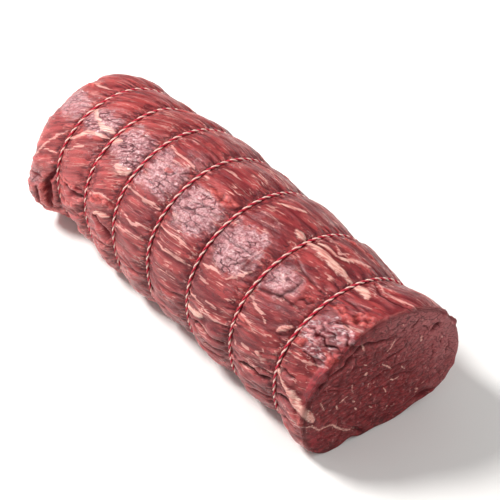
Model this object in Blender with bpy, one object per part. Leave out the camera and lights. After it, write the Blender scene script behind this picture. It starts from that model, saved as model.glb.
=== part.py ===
"""A raw beef roasting joint tied with seven loops of red and white butcher's twine.

The joint lies along X: its far end points to -X and its cut face to +X.
The origin is on the surface that it lies on, below the middle of its length.
"""

import math

import bmesh
import bpy
import numpy as np

# Driving sizes along the joint, in metres
FAR_OVERHANG = 0.035
LOOP_GAPS = (0.0308, 0.0308, 0.0360, 0.0395, 0.0433, 0.0397)
CUT_OVERHANG = 0.035
LENGTH = FAR_OVERHANG + sum(LOOP_GAPS) + CUT_OVERHANG
FAR_X = -LENGTH / 2
CUT_X = LENGTH / 2
LOOP_X = tuple(FAR_X + FAR_OVERHANG + sum(LOOP_GAPS[:i]) for i in range(len(LOOP_GAPS) + 1))

# Driving sizes across the joint, in metres
SETTLED = 0.0045
CORNER = 0.003
BULGE = 0.0026
FAR_ROUNDING = 0.018
FAR_CAP = 0.72
FAR_DOME = 0.004
CUT_ROUNDING = 0.0035

# Twine and the groove that it presses into the meat
TWINE_THICKNESS = 0.0018
TWINE_CLEARANCE = 0.0004
TWINE_HEIGHT = 0.0014
GROOVE_HEIGHT = TWINE_HEIGHT + TWINE_THICKNESS / 2 + TWINE_CLEARANCE + 0.0002
GROOVE_FLOOR = 0.0012
GROOVE_WALL = 0.0022

# How far the cross-section departs from a circle, by waves around it
WAVES = {2: (0.041, -0.0055), 3: (0.0425, -0.035), 4: (-0.018, -0.018), 5: (-0.001, 0.006)}

# Along the joint: place, radius, and how far its planes turn and lean from square
STATIONS = (
    (FAR_X, 0.0515, 0.030, 0.0),
    (LOOP_X[0], 0.0549, 0.025, 0.0),
    (LOOP_X[1], 0.0560, -0.026, 0.0),
    (LOOP_X[3], 0.0560, -0.040, 0.0),
    (LOOP_X[4], 0.0553, -0.033, 0.0),
    (LOOP_X[5], 0.0544, 0.024, 0.0),
    (LOOP_X[6], 0.0524, 0.055, 0.0),
    (CUT_X, 0.0526, 0.180, -0.030),
)

# Lumps and hollows: name, place along X, degrees round from +Y, reach along, reach round, height
RELIEF = (
    ("folded flap at the far end", -0.134, 192, 0.012, 24, 0.0105),
    ("slit behind the flap", -0.104, 228, 0.007, 22, -0.0035),
    ("slit in the first bay", -0.097, 205, 0.006, 14, -0.0026),
    ("narrow back at the far end", -0.102, 8, 0.030, 36, -0.0050),
    ("narrow shoulder at the far end", -0.086, 48, 0.022, 22, -0.0026),
    ("low front of the second bay", -0.060, 216, 0.012, 24, 0.0016),
    ("low front of the third bay", -0.030, 216, 0.014, 24, 0.0014),
    ("hollow front of the fourth bay", 0.014, 224, 0.010, 24, -0.0024),
    ("hollow front of the fifth bay", 0.052, 222, 0.014, 24, -0.0014),
    ("back of the fifth bay", 0.040, 50, 0.014, 30, 0.0016),
    ("back of the sixth bay", 0.080, 45, 0.012, 30, 0.0012),
    ("front corner by the cut", 0.130, 216, 0.011, 20, 0.0026),
    ("lobe under the cut face", 0.141, 242, 0.012, 20, 0.0040),
    ("sloping front shoulder by the cut", 0.141, 137, 0.015, 30, -0.0084),
    ("back shoulder by the cut", 0.134, 50, 0.012, 26, 0.0034),
    ("hollow back by the cut", 0.142, -12, 0.011, 28, -0.0032),
)

# Mesh sizes
AROUND = 70
TWINE_POINTS = 44
COLLECTION = "tied_beef_joint"


def clear_scene():
    for item in list(bpy.data.objects):
        bpy.data.objects.remove(item, do_unlink=True)


def between_stations(x, column):
    """A smooth curve through one column of the stations."""
    places = np.array([row[0] for row in STATIONS])
    values = np.array([row[column] for row in STATIONS])
    slopes = np.gradient(values, places)
    i = np.clip(np.searchsorted(places, x) - 1, 0, len(places) - 2)
    span = places[i + 1] - places[i]
    t = np.clip((x - places[i]) / span, 0.0, 1.0)
    start = (2 * t ** 3 - 3 * t ** 2 + 1) * values[i] + (t ** 3 - 2 * t ** 2 + t) * span * slopes[i]
    end = (3 * t ** 2 - 2 * t ** 3) * values[i + 1] + (t ** 3 - t ** 2) * span * slopes[i + 1]
    return start + end


def roundness(angle):
    """The cross-section's radius around it, as a share of the mean radius."""
    radius = np.ones_like(angle)
    for turns, (across, up) in WAVES.items():
        radius = radius + across * np.cos(turns * angle) + up * np.sin(turns * angle)
    return radius


def lowest_share():
    """The height of the cross-section's lowest point, as a share of the mean radius."""
    angle = np.linspace(-math.pi, 0.0, 721)
    return (roundness(angle) * np.sin(angle)).min()


LOWEST = lowest_share()


def smooth_max(a, b, width):
    """The larger of two values, rounded where they cross."""
    share = np.clip(0.5 + 0.5 * (a - b) / width, 0.0, 1.0)
    return a * share + b * (1 - share) + width * share * (1 - share)


def groove(x):
    """1 under a loop of twine and 0 away from it."""
    depth = np.zeros_like(x)
    for loop_x in LOOP_X:
        away = np.abs(x - loop_x)
        depth = np.maximum(depth, np.clip(1 - (away - GROOVE_FLOOR) / GROOVE_WALL, 0.0, 1.0))
    return depth * depth * (3 - 2 * depth)


def swelling(x):
    """1 half way between two loops of twine and 0 under them."""
    edges = np.array((FAR_X - 0.012,) + LOOP_X + (CUT_X + 0.030,))
    i = np.clip(np.searchsorted(edges, x) - 1, 0, len(edges) - 2)
    t = (x - edges[i]) / (edges[i + 1] - edges[i])
    return np.clip(1 - np.abs(2 * t - 1) ** 2.4, 0.0, 1.0)


def relief(x, angle):
    """The sum of the lumps and hollows at a place on the skin."""
    height = np.zeros_like(angle)
    for _, place, degrees, reach, turn, lump in RELIEF:
        around = np.degrees(np.angle(np.exp(1j * (angle - math.radians(degrees)))))
        height = height + lump * np.exp(-((x - place) / reach) ** 2 - (around / turn) ** 2)
    return height


def lay(x, angle, lift, floor, inset):
    """Points round one section, raised by lift and settled on the floor."""
    radius = between_stations(x, 1)
    reach = (radius * roundness(angle) + lift) * inset
    y = reach * np.cos(angle)
    z = reach * np.sin(angle) - radius * LOWEST - SETTLED
    z = smooth_max(z, floor, CORNER)
    turned = between_stations(x, 2) * y + between_stations(x, 3) * (z - radius)
    return np.stack([x + turned, y, z], axis=-1)


def meat_points(x, angle, inset):
    """Points on the meat's skin, or inside its ends where inset is below 1."""
    pressed = groove(x)
    under_twine = TWINE_THICKNESS / 2 + TWINE_CLEARANCE
    lift = relief(x, angle) + BULGE * swelling(x) * (1 - pressed) - under_twine * pressed
    return lay(x, angle, lift, GROOVE_HEIGHT * pressed, inset)


def twine_points(loop_x):
    """The middle line of one loop of twine."""
    angle = np.linspace(0.0, 2 * math.pi, TWINE_POINTS, endpoint=False)
    x = np.full_like(angle, loop_x)
    return lay(x, angle, relief(x, angle), TWINE_HEIGHT, 1.0)


def ring_plan():
    """Place and inset of every ring of the meat, from the cut face to the far end."""
    rings = [(CUT_X, inset) for inset in (0.20, 0.42, 0.64, 0.84, 0.96)]
    rings.append((CUT_X - CUT_ROUNDING, 1.0))
    shoulder = GROOVE_FLOOR + GROOVE_WALL
    start = CUT_X - CUT_ROUNDING
    for loop_x in reversed(LOOP_X):
        end = loop_x + shoulder
        rings += [(start + (end - start) * step / 4, 1.0) for step in (1, 2, 3)]
        rings += [(loop_x + side, 1.0) for side in (shoulder, GROOVE_FLOOR, -GROOVE_FLOOR, -shoulder)]
        start = loop_x - shoulder
    rings.append(((start + FAR_X + FAR_ROUNDING) / 2, 1.0))
    for step in range(4):
        turn = step / 3 * math.pi / 2
        inset = FAR_CAP + (1 - FAR_CAP) * math.cos(turn)
        rings.append((FAR_X + FAR_ROUNDING * (1 - math.sin(turn)), inset))
    rings += [(FAR_X - FAR_DOME * (1 - share ** 2), FAR_CAP * share) for share in (0.66, 0.33)]
    return rings


def box_middle():
    """The middle of the meat's box in X and Y, which the origin moves to."""
    angle = np.linspace(0.0, 2 * math.pi, AROUND, endpoint=False)
    rings = [meat_points(np.full_like(angle, x), angle, inset) for x, inset in ring_plan()]
    points = np.concatenate(rings)
    middle = (points.min(axis=0) + points.max(axis=0)) / 2
    return np.array([middle[0], middle[1], 0.0])


def make_material(name, colour, roughness):
    material = bpy.data.materials.new(name)
    material.use_nodes = True
    shader = material.node_tree.nodes["Principled BSDF"]
    shader.inputs["Base Color"].default_value = (*colour, 1.0)
    shader.inputs["Roughness"].default_value = roughness
    shader.inputs["Metallic"].default_value = 0.0
    return material


def make_meat(collection, material, middle):
    """The joint of beef: a sphere whose rings are laid out along the joint."""
    rings = ring_plan()
    segments = len(rings) + 1
    ball = bmesh.new()
    bmesh.ops.create_uvsphere(ball, u_segments=AROUND, v_segments=segments, radius=1.0)
    for vertex in ball.verts:
        row = round(math.acos(max(-1.0, min(1.0, vertex.co.z))) / math.pi * segments)
        angle = np.array([math.atan2(vertex.co.y, vertex.co.x)])
        if row == 0:
            x, inset = CUT_X, 0.0
        elif row == segments:
            x, inset = FAR_X - FAR_DOME, 0.0
        else:
            x, inset = rings[row - 1]
        vertex.co = meat_points(np.array([x]), angle, inset)[0] - middle
    bmesh.ops.triangulate(ball, faces=ball.faces)
    bmesh.ops.recalc_face_normals(ball, faces=ball.faces)
    mesh = bpy.data.meshes.new("beef")
    ball.to_mesh(mesh)
    ball.free()
    mesh.materials.append(material)
    mesh.shade_smooth()
    beef = bpy.data.objects.new("beef", mesh)
    collection.objects.link(beef)


def make_twine(collection, material, middle, number, loop_x):
    """One closed loop of twine, as a round bevel on its middle line."""
    name = f"twine_{number}"
    curve = bpy.data.curves.new(name, "CURVE")
    curve.dimensions = "3D"
    curve.bevel_depth = TWINE_THICKNESS / 2
    curve.bevel_resolution = 2
    points = twine_points(loop_x) - middle
    spline = curve.splines.new("POLY")
    spline.points.add(len(points) - 1)
    for target, point in zip(spline.points, points):
        target.co = (*point, 1.0)
    spline.use_cyclic_u = True
    curve.materials.append(material)
    collection.objects.link(bpy.data.objects.new(name, curve))


def main():
    clear_scene()
    collection = bpy.data.collections.new(COLLECTION)
    bpy.context.scene.collection.children.link(collection)
    meat = make_material("raw_beef", (0.36, 0.065, 0.06), 0.42)
    twine = make_material("butchers_twine", (0.72, 0.30, 0.29), 0.85)
    middle = box_middle()
    make_meat(collection, meat, middle)
    for number, loop_x in enumerate(LOOP_X, start=1):
        make_twine(collection, twine, middle, number, loop_x)


main()
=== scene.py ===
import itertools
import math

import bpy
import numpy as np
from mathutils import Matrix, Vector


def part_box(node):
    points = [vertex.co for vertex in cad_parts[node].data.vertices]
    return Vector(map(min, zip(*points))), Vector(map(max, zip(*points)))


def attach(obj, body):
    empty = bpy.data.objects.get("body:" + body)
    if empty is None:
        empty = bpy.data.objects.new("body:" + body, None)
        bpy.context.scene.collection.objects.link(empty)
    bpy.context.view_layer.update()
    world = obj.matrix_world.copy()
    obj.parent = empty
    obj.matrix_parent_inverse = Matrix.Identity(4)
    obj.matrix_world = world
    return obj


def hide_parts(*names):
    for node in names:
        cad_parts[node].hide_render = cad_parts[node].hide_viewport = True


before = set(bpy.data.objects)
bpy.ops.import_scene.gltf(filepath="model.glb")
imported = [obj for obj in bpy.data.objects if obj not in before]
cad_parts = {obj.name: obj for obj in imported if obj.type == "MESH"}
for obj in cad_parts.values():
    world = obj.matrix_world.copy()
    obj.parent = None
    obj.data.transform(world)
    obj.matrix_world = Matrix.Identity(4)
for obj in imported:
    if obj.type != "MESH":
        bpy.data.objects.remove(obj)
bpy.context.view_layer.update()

# A raw beef roasting joint tied with seven loops of red and white butcher's twine.
# It lies along X, with its far end at -X and its cut face at +X.
# Places on the skin are given as millimetres along X and degrees round from +Y.
# Places on the cut face are given as millimetres along Y and Z.

# One millimetre, in metres
MM = 0.001

# Driving sizes along the joint, as in the part's source
FAR_OVERHANG = 0.035
LOOP_GAPS = (0.0308, 0.0308, 0.0360, 0.0395, 0.0433, 0.0397)
CUT_OVERHANG = 0.035
LENGTH = FAR_OVERHANG + sum(LOOP_GAPS) + CUT_OVERHANG
FAR_X = -LENGTH / 2
CUT_X = LENGTH / 2
LOOP_X = tuple(FAR_X + FAR_OVERHANG + sum(LOOP_GAPS[:i]) for i in range(len(LOOP_GAPS) + 1))

# Driving sizes across the joint, as in the part's source
SETTLED = 0.0045
CORNER = 0.003
BULGE = 0.0026
FAR_ROUNDING = 0.018
FAR_CAP = 0.72
FAR_DOME = 0.004
CUT_ROUNDING = 0.0035
CUT_FLAT = 0.955

# Twine and the groove that it presses into the meat, as in the part's source
TWINE_THICKNESS = 0.0018
TWINE_CLEARANCE = 0.0004
TWINE_HEIGHT = 0.0014
GROOVE_HEIGHT = TWINE_HEIGHT + TWINE_THICKNESS / 2 + TWINE_CLEARANCE + 0.0002

# The visible skin closes in on the twine, inside the groove of the part's source
SKIN_CLEARANCE = 0.00012
SKIN_GROOVE_FLOOR = 0.0009
SKIN_GROOVE_WALL = 0.0013

# The cross-section, as in the part's source. A wave is a number of turns and its size across and up.
# A station is a place along X, the radius there, and how far the section leans by its Y and its Z.
# A lump is its name, place along X, degrees round, reach along X, reach in degrees and height.
WAVES = {2: (0.041, -0.0055), 3: (0.0425, -0.035), 4: (-0.018, -0.018), 5: (-0.001, 0.006)}
STATIONS = (
    (FAR_X, 0.0515, 0.030, 0.0),
    (LOOP_X[0], 0.0549, 0.025, 0.0),
    (LOOP_X[1], 0.0560, -0.026, 0.0),
    (LOOP_X[3], 0.0560, -0.040, 0.0),
    (LOOP_X[4], 0.0553, -0.033, 0.0),
    (LOOP_X[5], 0.0544, 0.024, 0.0),
    (LOOP_X[6], 0.0524, 0.055, 0.0),
    (CUT_X, 0.0526, 0.180, -0.030),
)
RELIEF = (
    ("folded flap at the far end", -0.134, 192, 0.012, 24, 0.0105),
    ("slit behind the flap", -0.104, 228, 0.007, 22, -0.0035),
    ("slit in the first bay", -0.097, 205, 0.006, 14, -0.0026),
    ("narrow back at the far end", -0.102, 8, 0.030, 36, -0.0050),
    ("narrow shoulder at the far end", -0.086, 48, 0.022, 22, -0.0026),
    ("low front of the second bay", -0.060, 216, 0.012, 24, 0.0016),
    ("low front of the third bay", -0.030, 216, 0.014, 24, 0.0014),
    ("hollow front of the fourth bay", 0.014, 224, 0.010, 24, -0.0024),
    ("hollow front of the fifth bay", 0.052, 222, 0.014, 24, -0.0014),
    ("back of the fifth bay", 0.040, 50, 0.014, 30, 0.0016),
    ("back of the sixth bay", 0.080, 45, 0.012, 30, 0.0012),
    ("front corner by the cut", 0.130, 216, 0.011, 20, 0.0026),
    ("lobe under the cut face", 0.141, 242, 0.012, 20, 0.0040),
    ("sloping front shoulder by the cut", 0.141, 137, 0.015, 30, -0.0084),
    ("back shoulder by the cut", 0.134, 50, 0.012, 26, 0.0034),
    ("hollow back by the cut", 0.142, -12, 0.011, 28, -0.0032),
)

# How the twine is laid: two strands round each other, with the thickness and offset of each
LAY_LENGTH = 0.0079
LAY_START = 1.3
STRANDS = ((0.00128, 0.00036), (0.00104, 0.00046))
TWINE_STEPS = 680
STRAND_SIDES = 7
SIDE_ANGLES = np.arange(STRAND_SIDES) / STRAND_SIDES * 2 * math.pi

# Rows of the meat's mesh, from the middle of the cut face to the middle of the far end
FACE_ROWS = 52
RIM_ROWS = 7
SKIN_ROWS = 280
TURN_ROWS = 24
CAP_ROWS = 20
COLUMNS = 256
FINEST_SIDE = 125
FINENESS = 0.55
MM_PER_DEGREE = 0.97

# The relief stays between these heights, in mm
DEEPEST = -4.0
TALLEST = 2.8

# Patches of silverskin: middle, half length in mm, half width in degrees, strength
SILVERSKIN = (
    ((-124, 116), 13, 14, 0.72),
    ((-95, 116), 15, 12, 0.80),
    ((-63, 116), 16, 16, 1.0),
    ((-30, 117), 18, 16, 0.95),
    ((6, 119), 20, 16, 1.0),
    ((46, 117), 19, 18, 1.0),
    ((82, 115), 12, 15, 0.60),
    ((127, 121), 15, 12, 0.45),
    ((-127, 176), 8, 9, 0.42),
    ((-22, 92), 12, 9, 0.35),
    ((46, 94), 16, 8, 0.30),
)

# Fat narrower than this is a thin streak, and none is drawn narrower than the mesh can hold
THIN_STREAK = 1.65
THINNEST = 1.1
FAT_SPREAD = 0.8

# Fat: width and height in mm, and the places that it runs through
FAT = (
    (2.3, 0.6, ((-111, 138), (-105, 134), (-100, 130), (-97, 126), (-91, 123), (-82, 120))),
    (1.2, 0.4, ((-110, 147), (-101, 140), (-92, 134))),
    (2.8, 0.2, ((-111, 111), (-105, 112), (-99, 115), (-91, 117), (-82, 115))),
    (3.6, 0.4, ((-78, 120), (-71, 117))),
    (3.4, 0.9, ((-63, 130), (-57, 130), (-51, 127))),
    (2.0, 0.9, ((-67, 168), (-63, 163), (-57, 162), (-51, 160))),
    (1.0, 0.4, ((-73, 156), (-64, 151), (-51, 149))),
    (1.2, 0.5, ((-47, 165), (-39, 159), (-32, 158), (-18, 154))),
    (1.2, 0.5, ((-38, 149), (-30, 151), (-22, 148), (-15, 146))),
    (0.8, 0.4, ((-47, 135), (-38, 134), (-30, 134), (-15, 132))),
    (1.3, 0.5, ((-40, 111), (-33, 109), (-27, 106))),
    (1.2, 0.4, ((-38, 84), (-31, 84))),
    (0.8, 0.3, ((-44, 98), (-32, 99), (-16, 99))),
    (1.5, 0.5, ((-6, 149), (1, 150), (7, 149), (18, 147), (24, 146))),
    (0.8, 0.4, ((-9, 139), (9, 138), (24, 138))),
    (1.3, 0.4, ((-7, 129), (0, 130), (6, 128))),
    (1.3, 0.4, ((-7, 85), (1, 83), (6, 84))),
    (0.9, 0.3, ((6, 157), (10, 156))),
    (4.6, 0.8, ((30, 173), (36, 173), (42, 171), (46, 168))),
    (1.5, 0.5, ((44, 175), (51, 177), (59, 178), (67, 179))),
    (0.8, 0.4, ((31, 161), (39, 162), (48, 162), (56, 164), (67, 161))),
    (0.7, 0.3, ((46, 156), (56, 156))),
    (1.2, 0.5, ((33, 147), (43, 147))),
    (1.2, 0.5, ((32, 139), (40, 138), (49, 137), (54, 136))),
    (0.9, 0.5, ((54, 136), (58, 131), (62, 126), (64, 122))),
    (3.8, 1.1, ((61, 84), (65, 85), (68, 85))),
    (2.2, 0.7, ((37, 77), (42, 74), (47, 71), (51, 66))),
    (4.2, 1.2, ((71, 85), (78, 84), (86, 84), (95, 85), (101, 84), (108, 84))),
    (4.0, 1.0, ((112, 85), (118, 84), (124, 87))),
    (2.0, 0.8, ((75, 79), (84, 78), (89, 77))),
    (2.6, 0.9, ((89, 77), (94, 72), (99, 66), (103, 61))),
    (1.6, 0.7, ((81, 70), (87, 74), (90, 67))),
    (1.0, 0.4, ((74, 134), (80, 136), (91, 139))),
    (1.1, 0.6, ((87, 178), (97, 170), (103, 167), (108, 166))),
    (1.9, 1.1, ((94, 160), (98, 159))),
    (0.7, 0.3, ((81, 163), (90, 163))),
    (2.0, 1.2, ((100, 139), (104, 135), (107, 131))),
    (1.0, 0.5, ((73, 147), (81, 146), (87, 149))),
    (3.4, 1.2, ((112, 161), (119, 165), (126, 169), (133, 171))),
    (5.6, 1.8, ((126, 168), (133, 171), (140, 173), (154, 177))),
    (1.6, 0.5, ((112, 157), (117, 158))),
    (0.9, 0.4, ((120, 144), (128, 143), (135, 141), (142, 138))),
    (1.2, 0.5, ((113, 66), (124, 74), (136, 72), (143, 68))),
    (1.2, 0.5, ((-136, 165), (-128, 155), (-120, 141), (-113, 135))),
    (0.9, 0.4, ((-125, 155), (-119, 152), (-113, 151))),
    (0.9, 0.4, ((-134, 97), (-126, 94), (-116, 92))),
    (0.9, 0.3, ((-70, 82), (-63, 80))),
    (1.6, 0.6, ((-58, 62), (-46, 58), (-34, 60))),
    (1.8, 0.6, ((2, 52), (14, 48), (24, 50))),
    (1.6, 0.6, ((-24, 30), (-8, 24), (6, 26))),
    (2.4, 0.7, ((34, 28), (48, 22), (60, 24))),
    (1.4, 0.5, ((-96, 40), (-86, 34), (-74, 36))),
    (2.2, 0.7, ((74, 14), (88, 8), (100, 12))),
    (1.6, 0.6, ((-66, 4), (-50, -4), (-30, -2))),
    (1.4, 0.5, ((4, 0), (20, -6), (40, -4))),
    (1.6, 0.6, ((116, 32), (128, 26), (140, 30))),
)

# Creases and slits: width and depth in mm, and the places that they run through
CREASES = (
    (2.0, 3.4, ((-121, 203), (-120, 190), (-119, 178), (-116, 169), (-112, 163))),
    (1.4, 1.8, ((-128, 204), (-127, 192), (-126, 182))),
    (1.0, 1.2, ((-135, 176), (-128, 175), (-121, 176))),
    (1.9, 3.2, ((-99, 166), (-92, 169), (-88, 167), (-81, 166))),
    (1.8, 1.2, ((-88, 162), (-82, 160))),
    (1.2, 1.2, ((-82, 176), (-79, 172), (-76, 167))),
    (2.4, 3.6, ((-67, 168), (-63, 170), (-58, 173), (-51, 178))),
    (0.9, 0.8, ((-101, 120), (-97, 119))),
    (0.8, 0.6, ((-42, 124), (-30, 124), (-15, 123))),
    (0.8, 0.7, ((-30, 116), (-25, 112), (-24, 108))),
    (0.9, 0.8, ((-21, 108), (-15, 100))),
    (0.7, 0.5, ((-66, 125), (-58, 121), (-50, 119))),
    (0.7, 0.5, ((-73, 107), (-62, 104), (-50, 102))),
    (0.7, 0.4, ((-73, 103), (-62, 100), (-50, 99))),
    (1.0, 1.0, ((0, 177), (5, 179), (9, 184), (14, 184))),
    (1.0, 1.0, ((15, 173), (24, 170))),
    (0.6, 0.4, ((-8, 137), (10, 136), (24, 136))),
    (0.8, 0.6, ((0, 116), (8, 113), (14, 110))),
    (1.5, 2.0, ((36, 180), (42, 179), (51, 180), (66, 180))),
    (1.1, 1.2, ((36, 184), (40, 179))),
    (1.2, 1.4, ((47, 194), (54, 191), (67, 187))),
    (0.8, 0.7, ((31, 118), (44, 118), (58, 115))),
    (0.7, 0.5, ((52, 128), (56, 122), (57, 112))),
    (0.7, 0.5, ((58, 127), (60, 118), (62, 108))),
    (2.2, 3.0, ((81, 181), (88, 178), (95, 176), (100, 177), (107, 173))),
    (1.0, 1.1, ((96, 170), (103, 168), (108, 168))),
    (1.0, 0.8, ((73, 98), (82, 101), (91, 103), (107, 104))),
    (1.0, 0.8, ((89, 124), (91, 115), (90, 106))),
    (0.9, 1.0, ((98, 117), (101, 114), (104, 115), (107, 111))),
    (1.2, 1.0, ((74, 128), (84, 125), (90, 122), (99, 121))),
    (1.8, 2.6, ((114, 183), (120, 179), (127, 177), (133, 178), (137, 181))),
    (1.0, 1.2, ((116, 157), (127, 157))),
    (0.9, 1.4, ((113, 127), (118, 124), (122, 126), (127, 123), (131, 127), (137, 124), (142, 125))),
    (1.0, 1.3, ((126, 113), (130, 110), (134, 109))),
    (1.3, 1.7, ((135, 113), (139, 115), (141, 119))),
    (0.8, 1.0, ((116, 122), (120, 119), (125, 120), (130, 118), (133, 121))),
    (0.8, 1.0, ((120, 129), (123, 124), (124, 119))),
    (0.9, 1.2, ((139, 127), (142, 124), (145, 122))),
    (0.8, 0.9, ((122, 138), (130, 139), (136, 143))),
    (0.9, 0.8, ((113, 98), (124, 96), (134, 97))),
    (1.2, 1.0, ((114, 70), (124, 78), (136, 76), (143, 72))),
    (1.2, 1.2, ((84, 204), (96, 197), (107, 196))),
    (1.2, 1.2, ((30, 204), (46, 202), (64, 196))),
    (1.0, 0.9, ((-46, 190), (-32, 186), (-16, 185))),
    (1.0, 0.9, ((-8, 200), (8, 196), (24, 196))),
    (1.2, 1.2, ((114, 204), (126, 196), (138, 194))),
    (1.2, 1.4, ((-134, 208), (-126, 204), (-116, 206))),
    (1.0, 1.0, ((-106, 190), (-96, 184), (-84, 184))),
    (1.2, 1.2, ((-70, 190), (-60, 188), (-50, 186))),
    (1.0, 1.0, ((-106, 30), (-94, 24), (-82, 28))),
    (1.2, 1.2, ((-44, 12), (-30, 8), (-16, 14))),
    (1.0, 1.0, ((-8, 40), (6, 34), (24, 38))),
    (1.2, 1.2, ((34, 6), (50, 0), (66, 4))),
    (1.0, 1.0, ((76, 34), (90, 30), (106, 34))),
    (1.2, 1.2, ((114, 10), (126, 4), (138, 8))),
    (1.0, 1.0, ((-136, 40), (-128, 36), (-116, 40))),
)

# Torn, orange-red meat: width and height in mm, and the places that it runs through
TORN = (
    (3.2, 0.9, ((-71, 161), (-67, 156), (-59, 153), (-51, 152))),
    (2.2, 0.8, ((-122, 200), (-122, 190), (-122, 180))),
    (3.4, 1.0, ((113, 136), (117, 134), (121, 133))),
    (3.0, 1.0, ((113, 105), (120, 104), (128, 106), (134, 104))),
    (4.4, 1.6, ((131, 102), (137, 99), (142, 101))),
    (4.0, 1.6, ((132, 137), (137, 134), (143, 130))),
    (3.6, 1.2, ((139, 185), (151, 185))),
    (4.4, 0.9, ((3, 102), (9, 103), (16, 102), (23, 99))),
    (3.0, 0.6, ((-108, 180), (-102, 176), (-96, 178), (-88, 176))),
    (2.0, 0.5, ((-106, 168), (-98, 162), (-90, 163), (-83, 160))),
    (1.8, 0.5, ((-30, 113), (-26, 110))),
    (2.0, 0.5, ((100, 113), (106, 110))),
    (1.6, 0.5, ((73, 149), (80, 148), (86, 151))),
    (2.0, 0.5, ((-136, 100), (-128, 97))),
    (2.6, 0.6, ((76, 56), (88, 50), (100, 46))),
)

# Rounded folds and lumps: width and height in mm, and the places that they run through
FOLDS = (
    (5.0, 2.0, ((-134, 166), (-126, 165), (-116, 160))),
    (2.2, 1.8, ((-124, 205), (-124, 194), (-123, 182))),
    (2.2, 1.6, ((-116, 200), (-116, 188), (-114, 176))),
    (2.6, 1.5, ((-106, 194), (-97, 184), (-86, 175))),
    (2.4, 1.3, ((-102, 202), (-93, 192), (-83, 184))),
    (3.0, 1.5, ((-75, 166), (-70, 160), (-60, 156), (-51, 153))),
    (4.0, 1.2, ((-130, 186), (-126, 181))),
    (4.2, 1.2, ((52, 173), (60, 173), (67, 172))),
    (3.6, 1.2, ((117, 161), (122, 161), (127, 161))),
    (4.0, 1.2, ((-98, 174), (-90, 175), (-83, 172))),
    (4.4, 1.3, ((-62, 178), (-56, 182), (-50, 184))),
    (4.0, 1.0, ((84, 189), (94, 185), (106, 181))),
    (4.0, 1.0, ((34, 192), (46, 187), (66, 184))),
    (3.6, 1.0, ((116, 188), (126, 184), (136, 186))),
    (3.0, 0.9, ((86, 124), (87, 114), (85, 106))),
    (3.0, 0.9, ((95, 122), (96, 112), (94, 106))),
    (3.2, 1.0, ((116, 122), (123, 121), (130, 117))),
    (3.2, 1.2, ((134, 118), (141, 116))),
    (3.6, 0.9, ((116, 78), (126, 82), (138, 80))),
    (3.4, 0.8, ((76, 148), (84, 144), (96, 146))),
)

# The tangle of sinew on top: width in mm, and the places that it runs through
TANGLE = (
    (8.0, ((111, 128), (118, 124), (126, 118), (134, 115), (142, 115))),
    (5.0, ((121, 134), (130, 134), (137, 139))),
)

# Lumps on the rim of the cut: degrees round, reach in degrees and height in mm
RIM_LUMPS = ((138, 30, 2.2), (20, 26, 1.0), (236, 18, 1.4))

# Seams of fat on the cut face: width and height in mm, and the places that each runs through
SEAMS = (
    (1.1, 0.3, ((-56, 37), (-48, 35), (-43, 28), (-35, 27), (-30, 20), (-25, 15), (-20, 11), (-14, 6))),
    (4.2, 1.4, ((-66, 68), (-60, 60), (-54, 52), (-51, 47), (-48, 40))),
    (0.7, 0.1, ((-40, 45), (-42, 50), (-43, 54))),
    (1.0, 0.1, ((-16, 88), (-15, 83))),
    (0.8, 0.1, ((1, 71), (4, 75), (6, 80))),
    (0.8, 0.1, ((-14, 69), (-12, 67))),
    (1.9, 0.2, ((-13, 58), (-12, 60))),
    (0.8, 0.1, ((-1, 61), (3, 57), (5, 53))),
    (0.8, 0.1, ((25, 71), (25, 66))),
    (0.6, 0.1, ((-22, 56), (-21, 48))),
    (1.0, 0.1, ((-32, 43), (-31, 39))),
    (0.7, 0.1, ((-30, 44), (-24, 47))),
    (0.7, 0.1, ((-11, 46), (-10, 50))),
    (0.8, 0.1, ((-7, 47), (-6, 49))),
    (0.7, 0.1, ((12, 51), (15, 47))),
    (0.7, 0.1, ((5, 44), (7, 42), (12, 42))),
    (0.7, 0.1, ((1, 38), (3, 32))),
    (0.7, 0.1, ((-21, 40), (-19, 38))),
    (0.7, 0.1, ((-9, 38), (-7, 37))),
    (0.7, 0.1, ((-19, 32), (-17, 29))),
    (0.6, 0.1, ((-8, 26), (-6, 24))),
    (1.0, 0.1, ((25, 23), (26, 19), (26, 16))),
    (0.7, 0.1, ((30, 24), (31, 25))),
    (0.6, 0.1, ((7, 14), (11, 17))),
    (0.5, 0.1, ((3, 14), (5, 19))),
    (0.6, 0.1, ((10, 90), (11, 88))),
    (0.9, 0.1, ((40, 62), (42, 58))),
    (0.6, 0.1, ((31, 38), (32, 35))),
)

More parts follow.
